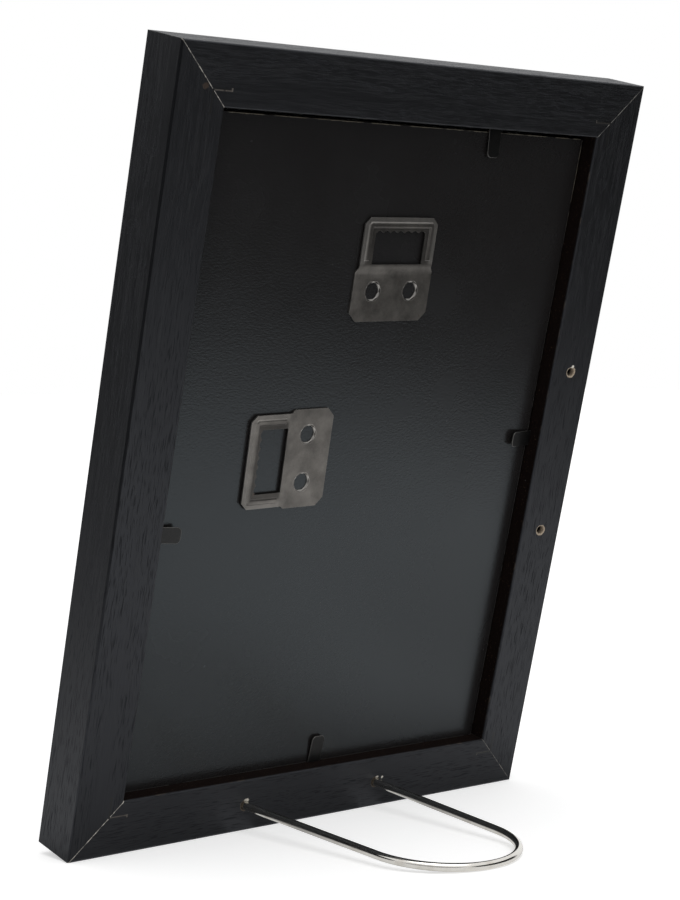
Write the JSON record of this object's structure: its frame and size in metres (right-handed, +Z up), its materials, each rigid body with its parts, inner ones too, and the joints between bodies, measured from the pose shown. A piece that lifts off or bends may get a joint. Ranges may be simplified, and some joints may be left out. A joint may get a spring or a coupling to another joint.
{
  "type": "picture frame",
  "caption": "Black wooden picture frame standing on a slide-in bent wire, with bend-up tabs over its hardboard back and saw-tooth hangers for either way round.",
  "frame": {"origin": "on the ground, in the middle of the floor area that the standing frame covers", "axes": "+Z up, +Y towards the back of the frame where the wire stand is, +X to the right as seen from the picture side"},
  "size_m": [0.162, 0.0896, 0.2091],
  "materials": {
    "rail_wood": "black stain, satin",
    "nail_steel": "dark",
    "clear_glass": "clear",
    "picture_paper": "matt paper",
    "hardboard": "black, satin",
    "hanger_steel": "bronzed",
    "tab_steel": "dark",
    "bright_wire": "bright plated"
  },
  "bodies": {
    "frame": {"bottom_rail": "rail_wood", "top_rail": "rail_wood", "left_rail": "rail_wood", "right_rail": "rail_wood", "corner_nail_bottom_left": "nail_steel", "corner_nail_bottom_right": "nail_steel", "corner_nail_top_right": "nail_steel", "corner_nail_top_left": "nail_steel", "glass_pane": "clear_glass", "picture_sheet": "picture_paper", "backing_board": "hardboard", "hanger_portrait": "hanger_steel", "hanger_landscape": "hanger_steel", "tab_anchor_bottom": "tab_steel", "tab_anchor_top": "tab_steel", "tab_anchor_left": "tab_steel", "tab_anchor_right": "tab_steel"},
    "stand": {"stand_wire": "bright_wire"},
    "tab_bottom": {"tab_tongue_bottom": "tab_steel"},
    "tab_top": {"tab_tongue_top": "tab_steel"},
    "tab_left": {"tab_tongue_left": "tab_steel"},
    "tab_right": {"tab_tongue_right": "tab_steel"}
  },
  "joints": [
    {"name": "stand_slide", "type": "slide", "parent": "frame", "child": "stand", "axis": [0, 0.9964, -0.0846], "range_m": [0, 0.012]},
    {"name": "tab_bottom_bend", "type": "hinge", "parent": "frame", "child": "tab_bottom", "pos_m": [-0.0026, -0.03137, 0.01603], "axis": [-1, 0, 0], "range_deg": [0, 86.5]},
    {"name": "tab_top_bend", "type": "hinge", "parent": "frame", "child": "tab_top", "pos_m": [-0.03, 0.01193, 0.19167], "axis": [1, 0, 0], "range_deg": [0, 84]},
    {"name": "tab_left_bend", "type": "hinge", "parent": "frame", "child": "tab_left", "pos_m": [-0.06545, -0.00912, 0.10628], "axis": [0, 0.2394, 0.9709], "range_deg": [0, 82]},
    {"name": "tab_right_bend", "type": "hinge", "parent": "frame", "child": "tab_right", "pos_m": [0.06545, -0.01422, 0.0856], "axis": [0, -0.2394, -0.9709], "range_deg": [0, 78]}
  ]
}
